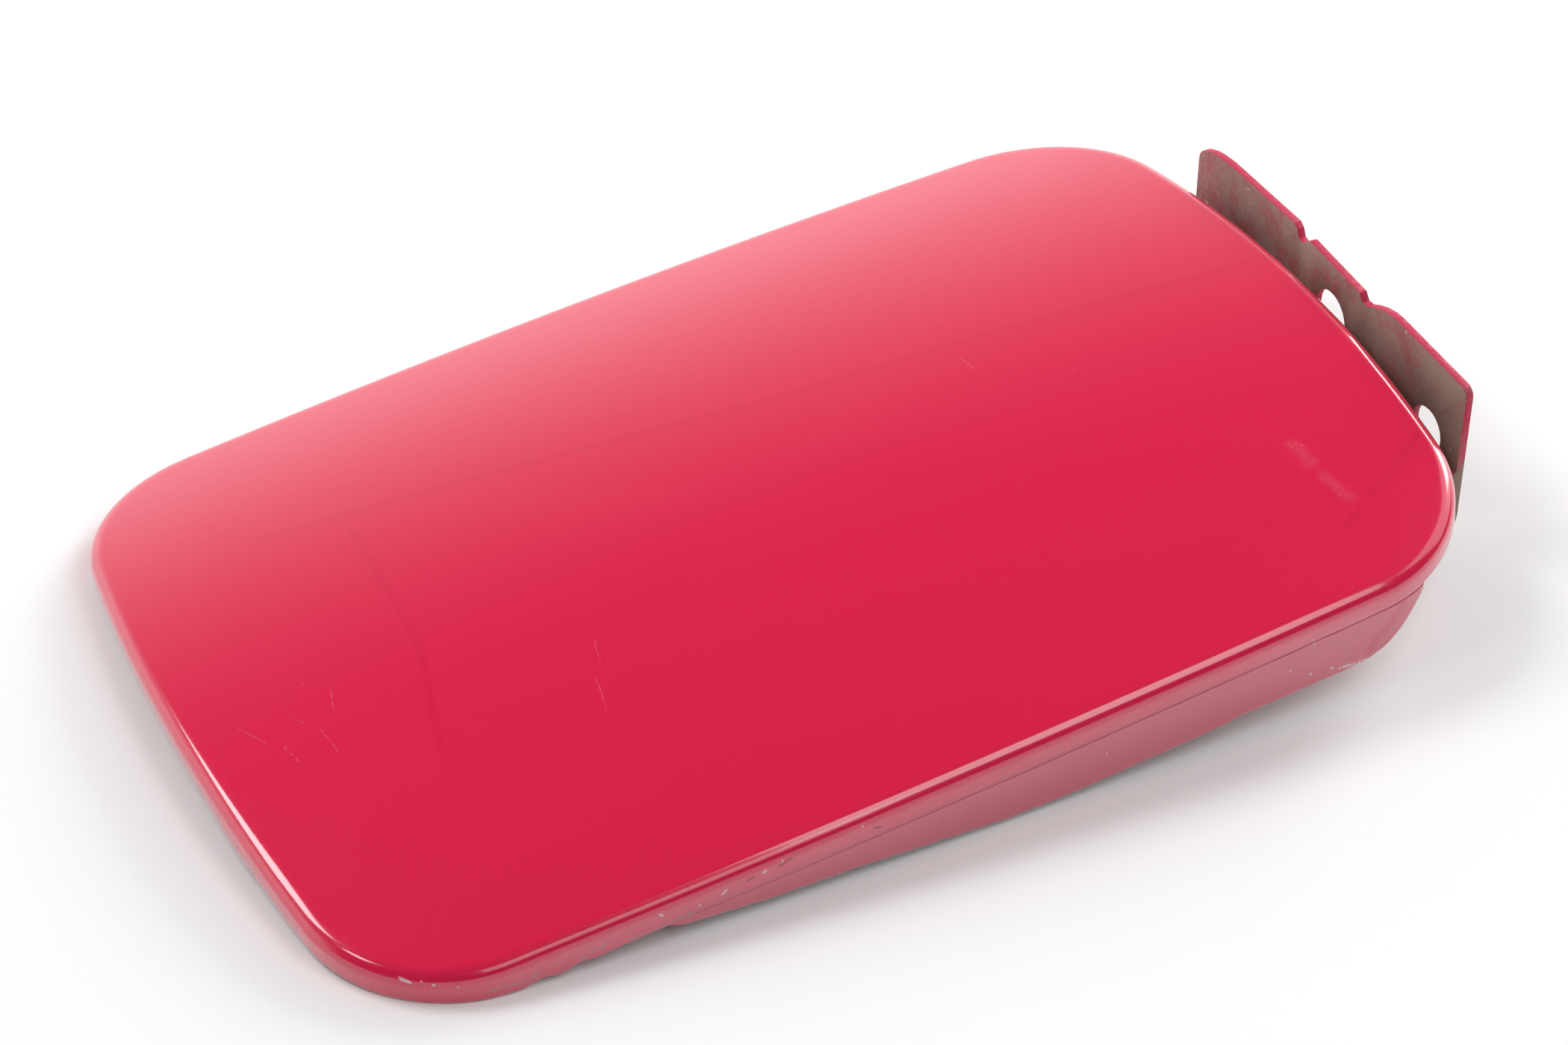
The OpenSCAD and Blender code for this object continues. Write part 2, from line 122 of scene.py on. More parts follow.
def door_rays():
    """Rays round the whole door, from the middle of the hinge end over the near side."""
    a1, a2 = heading(HINGE_C, HINGE_CORNER_C), heading(SIDE_C, HINGE_CORNER_C)
    a3, a4 = heading(SIDE_C, FREE_CORNER_C), heading(FREE_C, FREE_CORNER_C)
    near = [*arc_rays(HINGE_C, END_R, 0, a1, ARC_STEPS["hinge_end"]),
            *arc_rays(HINGE_CORNER_C, HINGE_CORNER_R, a1, a2, ARC_STEPS["hinge_corner"]),
            *arc_rays(SIDE_C, SIDE_R, a2, a3, ARC_STEPS["side"]),
            *arc_rays(FREE_CORNER_C, FREE_CORNER_R, a3, a4, ARC_STEPS["free_corner"]),
            *arc_rays(FREE_C, END_R, a4, -math.pi, ARC_STEPS["free_end"]),
            (FREE_C - Vector((END_R, 0)), Vector((1, 0)))]
    far = [(Vector((p.x, -p.y)), Vector((d.x, -d.y))) for p, d in near[-2:0:-1]]
    return near + far


RAYS = door_rays()
print("Outline:", len(RAYS), "rays")

# %% [markdown]
# A pressing has the same section all the way round, only its depths change. So a section is
# drawn for each ray, as a list of points that are each an inset and a height, and the rings
# through them are joined to one closed mesh. Beyond 20 mm the rays turn to the door's middle.

# %% Places along a ray
DEEP = 20.0
REACH = 70.0


def place(ray, inset):
    """The point of the plan that lies that far in from the edge along a ray."""
    edge, inwards = ray
    if inset <= DEEP:
        return edge + inset * inwards
    deep = edge + DEEP * inwards
    middle = Vector((MID_U, 0))
    return middle + (deep - middle) * (1 - (inset - DEEP) / (REACH - DEEP))


def under_crown(ray, inset, drop):
    """A section's point that lies so far below the crown."""
    return inset, crown(*place(ray, inset)) - drop


print("Rays turn to the middle beyond", DEEP, "mm")

# %% Curves from a few numbers
MOST_OF_A_SIDE = 0.49


def smoothstep(a, b, x):
    t = min(1.0, max(0.0, (x - a) / (b - a)))
    return t * t * (3 - 2 * t)


def lookup(table, x):
    """Straight lines between the points of a small table."""
    if x <= table[0][0]:
        return table[0][1]
    for (x0, y0), (x1, y1) in zip(table, table[1:]):
        if x <= x1:
            return y0 + (y1 - y0) * (x - x0) / (x1 - x0)
    return table[-1][1]


def rounded(path, radius, steps):
    """A section whose inner corners are swapped for short curves."""
    out = [path[0]]
    for k in range(1, len(path) - 1):
        a, b, c = (Vector(path[k + i]) for i in (-1, 0, 1))
        r = min(radius, (a - b).length * MOST_OF_A_SIDE, (c - b).length * MOST_OF_A_SIDE)
        start, end = b + (a - b).normalized() * r, b + (c - b).normalized() * r
        for i in range(steps + 1):
            t = i / steps
            out.append(tuple((1 - t) ** 2 * start + 2 * t * (1 - t) * b + t * t * end))
    return out + [path[-1]]


print("Halfway up a smooth step:", smoothstep(0, 1, 0.5))

# %% Rings to mesh


def pressing(name, section_of):
    """Closed mesh through the sections of all rays, whose ends meet in the door's middle."""
    sections = [section_of(ray) for ray in RAYS]
    around, rings = len(RAYS), len(sections[0]) - 2
    points = []
    for k in range(1, rings + 1):
        for ray, section in zip(RAYS, sections):
            inset, height = section[k]
            p = place(ray, inset)
            points.append(DOOR_TO_TABLE @ Vector((p.x, p.y, height)))
    first, last, last_ring = len(points), len(points) + 1, (rings - 1) * around
    points += [DOOR_TO_TABLE @ Vector((MID_U, 0, sections[0][k][1])) for k in (0, -1)]
    faces = []
    for i in range(around):
        j = (i + 1) % around
        faces.append((first, j, i))
        faces += [(k * around + i, k * around + j, (k + 1) * around + j, (k + 1) * around + i)
                  for k in range(rings - 1)]
        faces.append((last_ring + i, last_ring + j, last))
    mesh = bpy.data.meshes.new(name)
    mesh.from_pydata(points, [], faces)
    mesh.validate()
    mesh.shade_smooth()
    piece = bpy.data.objects.new(name, mesh)
    bpy.context.scene.collection.objects.link(piece)
    print(name, "has", len(points), "points and", len(faces), "faces")
    return piece


# %% [markdown]
# The rim is a little deeper at the free end. Below it, along both long sides, stands the skirt
# of the inner panel, whose lower edge was measured in the photograph as a share of its full
# depth. Both depths come first, because the skin and the panel share them.

# %% Rim and skirt depths
RIM_FREE, RIM_HINGE = 5.7, 4.6
SKIRT_DEPTH = 14.8
SKIRT_EDGE = [(43, 0.28), (50, 0.47), (66, 0.63), (80, 0.71), (108, 0.96), (120, 1.0),
              (149.8, 1.0), (151.2, 0.97), (174, 1.0), (177.5, 0.985), (181, 0.9),
              (184.5, 0.73), (191.5, 0.27)]
SIDE_BAND = 5


def rim_depth(edge):
    return RIM_FREE + (RIM_HINGE - RIM_FREE) * edge.x / CHORD_L


def skirt(edge):
    """Depth of the panel's skirt, which stands below the rim along both long sides."""
    on_side = abs(edge.y) >= HALF_W - SIDE_BAND
    return SKIRT_DEPTH * lookup(SKIRT_EDGE, edge.x) if on_side else 0


print("Skirt at mid length:", round(skirt(Vector((MID_U, -HALF_W))), 2), "mm")

# %% [markdown]
# The outer skin is what one sees: a crowned sheet that turns down through a small radius into
# a rim, and the rim's lower edge is folded under. The fold isn't even. At the free end it has
# been pushed down and out a little over a short stretch, and along the near side it waves.

# %% Where the fold hangs low
FREE_END_BAND = (-48, -8)
FREE_END_SAGS = [(0.6, (-12, -22), (-30, -27)), (0.3, (-27, -31), (-48, -40))]
NEAR_SIDE, WAVE_BAND = -60, (4, 60)
WAVE_SAG, WAVE_HEIGHT, WAVE_RATE = 0.5, 0.28, 0.9
WAVE_MIDDLE, WAVE_SPREAD = 29, 9
WAVE_STARTS, WAVE_STOPS = (6, 16), (58, 36)


def hem_sag(edge):
    """How far the folded edge hangs lower than it should."""
    if edge.x < FREE_CORNER_R / 2 and FREE_END_BAND[0] < edge.y < FREE_END_BAND[1]:
        return sum(most * smoothstep(*starts, edge.y) * smoothstep(*stops, edge.y)
                   for most, starts, stops in FREE_END_SAGS)
    if edge.y < NEAR_SIDE and WAVE_BAND[0] < edge.x < WAVE_BAND[1]:
        swell = math.exp(-((edge.x - WAVE_MIDDLE) / WAVE_SPREAD) ** 2)
        wave = WAVE_SAG + WAVE_HEIGHT * math.sin(edge.x * WAVE_RATE) * swell
        return wave * smoothstep(*WAVE_STARTS, edge.x) * smoothstep(*WAVE_STOPS, edge.x)
    return 0.0


print("The fold hangs lowest by", round(max(hem_sag(edge) for edge, inwards in RAYS), 2), "mm")

# %% Outer skin
SKIN_T = 0.9
EDGE_R = 2.5
OUTER_INSETS = (70, 60, 50, 40, 32, 25, 20, 16, 12, 9, 7, 5.5, 4.2, 3)
INNER_INSETS = (5, 9, 14, 20, 45, 70)
ROLL_STEPS, HEM_STEPS = 8, 6
INNER_ROLL = (75, 50, 25, 0)
WALL_TOP, WALL_MIDDLE, WALL_LOW = 0.5, 3.2, 4.0
HEM_PUSH = 0.3
PUSH_MIDDLE, PUSH_LOW, PUSH_INSIDE = 0.3, 0.7, 0.4
FLATTENED, FLAT_BELOW = 0.9, 7
INNER_WALL_TOP = 0.2
TABLE_CLEAR = 0.02


def roll_over(ray, edge_z):
    """The wall's upper ring, and the points of the roll that join it to the crown."""
    near_edge = place(ray, EDGE_R)
    slope = math.atan2(crown(*near_edge) - edge_z, EDGE_R)
    touch = EDGE_R * (1 - math.sin(slope))
    centre_z = crown(*place(ray, touch)) - EDGE_R * math.cos(slope)
    points = []
    for i in range(ROLL_STEPS + 1):
        a = slope + (math.pi / 2 - slope) * i / ROLL_STEPS
        points.append((EDGE_R * (1 - math.sin(a)), centre_z + EDGE_R * math.cos(a)))
    return points + [(0, centre_z - WALL_TOP)]


def folded_edge(edge, edge_z, sag, out):
    """Half a turn of sheet, thin where the skirt stands below it, and never under the table."""
    bottom = edge_z - rim_depth(edge) - sag
    over_table = (DOOR_TO_TABLE @ Vector((edge.x, edge.y, bottom))).z / MM - TABLE_CLEAR
    bottom -= min(0, over_table)
    hem = SKIN_T / 2
    fold = hem * (1 - FLATTENED * smoothstep(RIM_HINGE, FLAT_BELOW, skirt(edge)))
    angles = [math.pi * i / HEM_STEPS for i in range(HEM_STEPS + 1)]
    return [(out + hem * (1 - math.cos(a)), bottom + fold * (1 - math.sin(a))) for a in angles]


def skin_section(ray):
    edge = ray[0]
    edge_z = crown(*edge)
    sag = hem_sag(edge)
    out = -HEM_PUSH * sag
    inner = EDGE_R - SKIN_T
    section = [under_crown(ray, d, 0) for d in OUTER_INSETS] + roll_over(ray, edge_z)
    section += [(PUSH_MIDDLE * out, edge_z - WALL_MIDDLE), (PUSH_LOW * out, edge_z - WALL_LOW)]
    section += folded_edge(edge, edge_z, sag, out)
    section += [(SKIN_T + PUSH_INSIDE * out, edge_z - WALL_LOW),
                (SKIN_T, edge_z - EDGE_R - INNER_WALL_TOP)]
    for a in INNER_ROLL:
        angle = math.radians(a)
        section.append((EDGE_R - inner * math.sin(angle),
                        edge_z - EDGE_R + inner * math.cos(angle)))
    return section + [under_crown(ray, d, SKIN_T) for d in INNER_INSETS]


outer_skin = pressing("painted_skin", skin_section)
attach(outer_skin, "door")
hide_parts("outer_skin")

# %% [markdown]
# The inner panel stiffens the skin. It has a raised middle, a floor, a land that is bonded to
# the skin and a flange inside the rim. Along both sides the flange jogs out below the rim, flush
# with it, and grows into the skirt. The seam between the two isn't even, so its gap is a table.

# %% Inner panel
PANEL_T = 0.8
FLOOR_DROP, PLATEAU_DROP = 8.6, 5.2
FLOOR_INSET, LAND_IN, LAND_OUT = 14.0, 9.0, 3.4
FLOOR_END, PLATEAU_START = 28.0, 31.0
LAND_SET, FLOOR_SET = 0.4, 0.2
BOND = 0.05
FLANGE_SHORT = 0.7
ROLL_SET, ROLL_BELOW, BACK_BELOW = 0.1, 0.3, 0.9
SKIRT_SET = 0.04
FLUSH_OVER = 1.5
SHOULDER_LEAST, JOG_LEAST, FOOT_LEAST = 0.2, 0.1, 0.02
HIDDEN_RAISE, JOG, HIDDEN_JOG, FOOT, INNER_JOG = 0.4, 0.1, 0.5, 0.9, 0.05
FORM_R, FORM_STEPS = 1.3, 4
SEAM_GAP = [(60, -0.04), (106, -0.04), (109, 0.07), (116, 0.07), (120, -0.04), (158, -0.04),
            (162, 0.06), (167, -0.02), (172, 0.1), (179, 0.02), (186, 0.12)]


def panel_section(ray):
    edge = ray[0]
    edge_z = crown(*edge)
    rim, deep = rim_depth(edge), skirt(edge)
    out = min(1, max(0, (deep - rim) / FLUSH_OVER))
    wall = max(rim - FLANGE_SHORT, deep if deep > rim else 0)
    shoulder = min(wall - SHOULDER_LEAST,
                   rim + lookup(SEAM_GAP, edge.x) - HIDDEN_RAISE * (1 - out))
    step = min(wall - JOG_LEAST, shoulder + JOG + HIDDEN_JOG * (1 - out))
    straight = max(step + FOOT_LEAST, wall - FOOT)
    face = SKIN_T + (SKIRT_SET - SKIN_T) * out
    land = SKIN_T + BOND
    top = [(REACH, -PLATEAU_DROP), (PLATEAU_START, -PLATEAU_DROP), (FLOOR_END, -FLOOR_DROP),
           (FLOOR_INSET, -FLOOR_DROP),
           under_crown(ray, LAND_IN, land), under_crown(ray, LAND_OUT, land),
           (SKIN_T + ROLL_SET, edge_z - EDGE_R - ROLL_BELOW), (SKIN_T, edge_z - shoulder),
           (face, edge_z - step), (face, edge_z - straight), (face, edge_z - wall)]
    inside, back = face + PANEL_T, SKIN_T + PANEL_T
    bottom = [(inside, edge_z - wall), (inside, edge_z - straight),
              (inside, edge_z - step + INNER_JOG),
              (back, edge_z - shoulder + INNER_JOG), (back, edge_z - EDGE_R - BACK_BELOW),
              under_crown(ray, LAND_OUT + LAND_SET, land + PANEL_T),
              under_crown(ray, LAND_IN + LAND_SET, land + PANEL_T),
              (FLOOR_INSET + LAND_SET, -FLOOR_DROP - PANEL_T),
              (FLOOR_END + FLOOR_SET, -FLOOR_DROP - PANEL_T),
              (PLATEAU_START + FLOOR_SET, -PLATEAU_DROP - PANEL_T),
              (REACH, -PLATEAU_DROP - PANEL_T)]
    return rounded(top + bottom, FORM_R, FORM_STEPS)


inner_panel = pressing("stiffening_panel", panel_section)
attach(inner_panel, "door")
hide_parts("inner_panel")

# %% [markdown]
# The bracket, the channel, the catch's keeper, the pin, its clip and the rubber stops have the
# right shape as CAD solids. Cut sheet never has a razor edge, so each gets a fine bevel. Weld
# comes first, because a bevel needs faces that share their points.

# %% Bevels on the CAD pieces
BEVELS = {"body_bracket": 0.16, "door_hinge_channel": 0.14, "latch_keeper": 0.12,
          "hinge_pin": 0.12, "pin_clip": 0.08, "bump_stop_near": 0.3, "bump_stop_far": 0.3}
SAME_POINT = 0.004
BEVEL_STEPS = 2
SHARP_FROM = math.radians(25)


def soften(node, width):
    """Adds a weld and a fine bevel, and smooth shading that keeps the flats flat."""
    weld = node.modifiers.new("join_points", "WELD")
    weld.merge_threshold = SAME_POINT * MM
    bevel = node.modifiers.new("edge_radius", "BEVEL")
    bevel.width = width * MM
    bevel.segments = BEVEL_STEPS
    bevel.limit_method = "ANGLE"
    bevel.angle_limit = SHARP_FROM
    bevel.harden_normals = True
    node.data.shade_smooth()


for name, width in BEVELS.items():
    soften(nodes[name], width)
print("Bevelled", ", ".join(BEVELS))

# %% [markdown]
# Materials are built from nodes. A node is added with its settings and with what each socket
# holds, a number or another node's output, so that one short helper makes every tree. A Mix
# node has sockets for each kind of value, and those for colours are found by their number.

# %% Helpers for shader nodes
COLOUR_A, COLOUR_B, COLOUR_OUT = 6, 7, 2


def add(tree, kind, sockets=None, **settings):
    node = tree.nodes.new("ShaderNode" + kind)
    for key, value in settings.items():
        setattr(node, key, value)
    for key, value in (sockets or {}).items():
        if isinstance(value, bpy.types.NodeSocket):
            tree.links.new(value, node.inputs[key])
        else:
            node.inputs[key].default_value = value
    return node


def calc(tree, operation, a, b=0.0, clamp=False):
    return add(tree, "Math", {0: a, 1: b}, operation=operation, use_clamp=clamp).outputs[0]


def times(tree, a, b):
    return calc(tree, "MULTIPLY", a, b)


def vector_calc(tree, operation, a, b):
    return add(tree, "VectorMath", {0: a, 1: b}, operation=operation)


def ramp(tree, value, a, b, low=0.0, high=1.0):
    """Smooth rise from low to high while value goes from a to b."""
    sockets = {"Value": value, "From Min": a, "From Max": b, "To Min": low, "To Max": high}
    return add(tree, "MapRange", sockets, interpolation_type="SMOOTHSTEP").outputs["Result"]


def spread(tree, value, low, high):
    """Smooth rise from low to high while value goes from 0 to 1."""
    return ramp(tree, value, 0.0, 1.0, low, high)


def layered(tree, colour, layers):
    """A colour with others laid over it, each where its mask is, and at most to its share."""
    for mask, most, layer in layers:
        sockets = {"Factor": times(tree, mask, most), COLOUR_A: colour, COLOUR_B: layer}
        colour = add(tree, "Mix", sockets, data_type="RGBA").outputs[COLOUR_OUT]
    return colour


print("Node helpers are ready")

# %% Helpers for groups and materials


def group(name, inputs, outputs):
    """An empty shader node group with named sockets, and its input and output nodes."""
    tree = bpy.data.node_groups.new(name, "ShaderNodeTree")
    for socket, kind, value in inputs:
        s = tree.interface.new_socket(socket, in_out="INPUT", socket_type="NodeSocket" + kind)
        if value is not None:
            s.default_value = value
    for socket, kind in outputs:
        tree.interface.new_socket(socket, in_out="OUTPUT", socket_type="NodeSocket" + kind)
    return tree, tree.nodes.new("NodeGroupInput"), tree.nodes.new("NodeGroupOutput")


def use(tree, shared, sockets):
    return add(tree, "Group", sockets, node_tree=shared)


def finish_named(name, roughness):
    """A material with its Principled shader, whose roughness holds until nodes drive it."""
    material = bpy.data.materials.new(name)
    material.use_nodes = True
    shader = material.node_tree.nodes["Principled BSDF"]
    shader.inputs["Roughness"].default_value = roughness
    return material, material.node_tree, shader


def wire(tree, shader, colour, rough, relief, height, strength):
    """Links colour, roughness and relief to a shader. The height is in millimetres."""
    tree.links.new(colour, shader.inputs["Base Color"])
    tree.links.new(rough, shader.inputs["Roughness"])
    bump = add(tree, "Bump", {"Height": relief, "Distance": height * MM, "Strength": strength})
    tree.links.new(bump.outputs[0], shader.inputs["Normal"])


print("Group and material helpers are ready")

# %% [markdown]
# Old paint is never one colour. Four effects are shared by the finishes. Scratches are
# distances to a line. Specks are the middles of Voronoi cells, most of them left out. Grime is
# coarse noise with fine noise in it. The depth below the edge unrolls the walls, so that a mark
# on them has a place too, and the wall across is moved away, so that it isn't marked as well.
# Each effect is a group, put into a material with its own values.

# %% Shared effect: scratch
WAVER_SCALE, WAVER_DETAIL = 0.18, 2.0

scratch, inp, out = group(
    "scratch", [("Place", "Vector", None), ("From", "Vector", None), ("To", "Vector", None),
                ("Width", "Float", 0.3), ("Waver", "Float", 0.3)], [("Mask", "Float")])
waver = add(scratch, "TexNoise", {"Vector": inp.outputs["Place"], "Scale": WAVER_SCALE,
                                  "Detail": WAVER_DETAIL})
shift = vector_calc(scratch, "SUBTRACT", waver.outputs["Color"], (0.5, 0.5, 0.5))
shifted = add(scratch, "VectorMath", {0: shift.outputs[0], "Scale": inp.outputs["Waver"]},
              operation="SCALE")
moved = vector_calc(scratch, "ADD", inp.outputs["Place"], shifted.outputs[0])
flat = vector_calc(scratch, "MULTIPLY", moved.outputs[0], (1, 1, 0))
along = vector_calc(scratch, "SUBTRACT", inp.outputs["To"], inp.outputs["From"])
from_start = vector_calc(scratch, "SUBTRACT", flat.outputs[0], inp.outputs["From"])
dots = [vector_calc(scratch, "DOT_PRODUCT", a.outputs[0], along.outputs[0]).outputs["Value"]
        for a in (from_start, along)]
share = calc(scratch, "DIVIDE", dots[0], dots[1], clamp=True)
reached = add(scratch, "VectorMath", {0: along.outputs[0], "Scale": share}, operation="SCALE")
aside = vector_calc(scratch, "SUBTRACT", from_start.outputs[0], reached.outputs[0])
distance = add(scratch, "VectorMath", {0: aside.outputs[0]}, operation="LENGTH")
line = ramp(scratch, distance.outputs["Value"], inp.outputs["Width"], 0.0)
scratch.links.new(line, out.inputs["Mask"])
print("Group", scratch.name)

# %% Shared effect: specks
RAGGED_SCALE, RAGGED_DETAIL = 2.0, 2.0
RAGGED = (0.3, 0.7, 0.5, 1.5)
SPECK_CORE = 0.6

specks, inp, out = group(
    "specks", [("Place", "Vector", None), ("Spacing", "Float", 4.0), ("Size", "Float", 0.2),
               ("Share", "Float", 0.3)], [("Mask", "Float")])
scale = calc(specks, "DIVIDE", 1.0, inp.outputs["Spacing"])
ragged = add(specks, "TexNoise", {"Vector": inp.outputs["Place"], "Scale": RAGGED_SCALE,
                                  "Detail": RAGGED_DETAIL})
cells = add(specks, "TexVoronoi", {"Vector": inp.outputs["Place"], "Scale": scale})
chance = add(specks, "SeparateColor", {0: cells.outputs["Color"]})
size = times(specks, inp.outputs["Size"], chance.outputs[1])
size = times(specks, size, ramp(specks, ragged.outputs[0], *RAGGED))
dot = ramp(specks, cells.outputs["Distance"], size, times(specks, size, SPECK_CORE))
chosen = calc(specks, "LESS_THAN", chance.outputs[0], inp.outputs["Share"])
specks.links.new(times(specks, dot, chosen), out.inputs["Mask"])
print("Group", specks.name)

# %% Shared effect: grime
CLOUD_DETAIL, CLOUD_ROUGH, FINE_DETAIL = 4.0, 0.6, 3.0
CLOUD_EDGES, FINE_EDGES = (0.35, 0.65), (0.3, 0.7)

grime, inp, out = group(
    "grime", [("Place", "Vector", None), ("Scale", "Float", 0.05), ("Grain", "Float", 2.0)],
    [("Cloud", "Float"), ("Fine", "Float")])
broad = add(grime, "TexNoise", {"Vector": inp.outputs["Place"], "Scale": inp.outputs["Scale"],
                                "Detail": CLOUD_DETAIL, "Roughness": CLOUD_ROUGH})
small = add(grime, "TexNoise", {"Vector": inp.outputs["Place"], "Scale": inp.outputs["Grain"],
                                "Detail": FINE_DETAIL})
grime.links.new(ramp(grime, broad.outputs[0], *CLOUD_EDGES), out.inputs["Cloud"])
grime.links.new(ramp(grime, small.outputs[0], *FINE_EDGES), out.inputs["Fine"])
print("Group", grime.name)

# %% Shared effect: depth below the edge
OTHER_HALF_AWAY = 50.0

below_edge, inp, out = group("below_edge", [("Place", "Vector", None)],
                             [("Depth", "Float"), ("Side", "Vector"), ("End", "Vector")])
at = add(below_edge, "SeparateXYZ", {0: inp.outputs["Place"]})
across = calc(below_edge, "DIVIDE", at.outputs[1], HALF_W)
along = calc(below_edge, "DIVIDE", calc(below_edge, "SUBTRACT", at.outputs[0], MID_U), MID_U)
falls = [times(below_edge, times(below_edge, share, share), crown_drop)
         for share, crown_drop in ((across, -CROSS_CROWN), (along, -LONG_CROWN))]
depth = calc(below_edge, "SUBTRACT", calc(below_edge, "ADD", *falls), at.outputs[2])
below_edge.links.new(depth, out.inputs["Depth"])
for name, axis, other, limit in (("Side", 0, 1, 0.0), ("End", 1, 0, MID_U)):
    other_half = calc(below_edge, "GREATER_THAN", at.outputs[other], limit)
    lowered = calc(below_edge, "ADD", depth, times(below_edge, other_half, OTHER_HALF_AWAY))
    sheet = add(below_edge, "CombineXYZ", {0: at.outputs[axis], 1: lowered})
    below_edge.links.new(sheet.outputs[0], out.inputs[name])
print("Group", below_edge.name)

# %% [markdown]
# Every mark on the door is placed in the door's own frame. An object's own coordinates stay
# with it when the door swings, so a Mapping node turns them to u, v and w once, at the start of
# each material. The normal, taken the same way, tells the walls from the top.

# %% Places on the door and on the bracket


def door_place(tree):
    """The place in the door's frame, in millimetres."""
    own = add(tree, "TexCoord").outputs["Object"]
    back = Matrix.Rotation(DOOR_TILT, 3, "Y")
    origin = Vector((PIN_U, 0, -PIN_DROP)) - back @ (PIN / MM)
    return add(tree, "Mapping", {"Vector": own, "Location": origin,
                                 "Rotation": (0, DOOR_TILT, 0),
                                 "Scale": (1 / MM,) * 3}).outputs[0]


def table_place(tree):
    """The same for a piece that isn't tilted: millimetres from the frame's origin."""
    own = add(tree, "TexCoord").outputs["Object"]
    return add(tree, "Mapping", {"Vector": own, "Scale": (1 / MM,) * 3}).outputs[0]


def facing(tree):
    """The way that the surface faces at rest, as outputs for x, y and z."""
    return add(tree, "SeparateXYZ", {0: add(tree, "TexCoord").outputs["Normal"]}).outputs


print("The door is turned by", round(math.degrees(DOOR_TILT), 2), "degrees about its pin")

# %% [markdown]
# Marks are lists in millimetres: where a stroke starts, where it ends and half its width. Those
# on the top are in u and v, those on a wall go along it and down from the edge. The press marks
# are longer, so each is a chain of points.

# %% Marks on the body paint
PRINT_LINES = [[(22, 37), (66, 29), (119, 19), (157, 15), (191, 10), (206, 8)],
               [(38, 29), (37, 10), (36, -6), (30, -28)],
               [(212, -40), (198, -48.5), (181, -57.5)]]
SCRATCHES = [((3.4, -6.7), (6.0, -12.0), 0.16), ((8.2, -14.0), (9.1, -18.5), 0.14),
             ((14.9, -13.9), (15.4, -19.9), 0.16), ((12.0, -9.0), (13.4, -11.5), 0.12),
             ((57.9, -26.6), (56.5, -34.0), 0.18), ((61.5, -19), (60, -24), 0.14),
             ((19.6, -6.5), (18.4, -11), 0.14), ((147.0, 12), (147.4, 7.7), 0.16)]
SCUFFS = [((183.9, -36.5), (184.6, -42.0), 2.2), ((185.0, -46.0), (185.6, -51.9), 2.0)]
RIM_CHIPS = [((6.3, 1.0), (7.4, 1.3), 0.4), ((10.4, 1.4), (10.4, 1.4), 0.35),
             ((13.6, 2.2), (13.6, 2.2), 0.3), ((9.0, 0.9), (9.0, 0.9), 0.25),
             ((64.7, 2.7), (65.1, 2.5), 0.4), ((68.1, 1.9), (68.1, 1.9), 0.35),
             ((57.5, 3.7), (58.2, 3.2), 0.35), ((53.4, 4.0), (53.4, 4.0), 0.35),
             ((46.9, 2.4), (47.3, 2.9), 0.3), ((82.1, 1.9), (82.1, 1.9), 0.3)]
RIM_SCUFFS = [((18.5, 4.1), (26.0, 4.4), 0.6), ((33.0, 5.2), (37.7, 3.8), 0.5),
              ((40.0, 5.0), (52.0, 5.0), 0.4)]
RIM_CRACKS = [((61.8, 3.0), (63.0, 2.8), 0.25), ((67.5, 2.8), (69.6, 2.2), 0.3),
              ((84.0, 3.2), (85.3, 3.5), 0.3)]
END_SCUFFS = [((-17.0, 4.6), (-29.0, 5.3), 0.7), ((0.0, 4.8), (24.0, 3.4), 0.35)]


def flat_point(p):
    return (p[0], p[1], 0)


def strokes(tree, place, lines, waver=0.8):
    """Mask of several strokes, strongest where they cross."""
    total = None
    for a, b, width in lines:
        mask = use(tree, scratch, {"Place": place, "From": flat_point(a), "To": flat_point(b),
                                   "Width": width, "Waver": waver}).outputs[0]
        total = mask if total is None else calc(tree, "MAXIMUM", total, mask)
    return total


print("Marks on the body paint:", len(SCRATCHES) + len(SCUFFS) + len(RIM_CHIPS)
      + len(RIM_SCUFFS) + len(RIM_CRACKS) + len(END_SCUFFS))

# %% [markdown]
# The body paint is a solid red with a clear gloss over it. The walls, where nobody polishes,
# have a haze of dust that starts a little below the edge. On the top, the press marks of the
# panel below show as faint lines. Scratches, scuffs and chips lie where the old door has them.

# %% Body paint
PAINT_RED = (0.76, 0.015, 0.072, 1)
PAINT_DEEP = (0.55, 0.008, 0.045, 1)
PAINT_WORN = (0.80, 0.30, 0.33, 1)
WALL_HAZE = (0.80, 0.135, 0.20, 1)
# The pale chip colour also serves as the painted highlight on the inner panel's lower edge.
PALE_CHIP_AND_HIGHLIGHT = (0.78, 0.72, 0.70, 1)
SCUFF_GREY = (0.42, 0.33, 0.33, 1)
CRACK = (0.16, 0.006, 0.012, 1)
HAZE_STARTS, HAZE_LOW_DOWN = (1.3, 2.9), (3.6, 6.0, 0.0, 0.75)
HAZE_ALONG, HAZE_PATCHES = (4.0, 34.0, 0.3, 1.0), (0.86, 1.0)
TOP_STOPS = (2.4, 1.9)
PRINT_WIDTH, PRINT_WAVER, SCUFF_WAVER = 1.1, 1.0, 3.0
PAINT_ROUGH, GRAIN_ROUGH, CLEAR_ROUGH = (0.16, 0.34), 0.06, 0.06
GRAIN_RELIEF, PRINT_RELIEF, PAINT_RELIEF, PAINT_BUMP = 0.2, 0.6, 0.02, 0.3


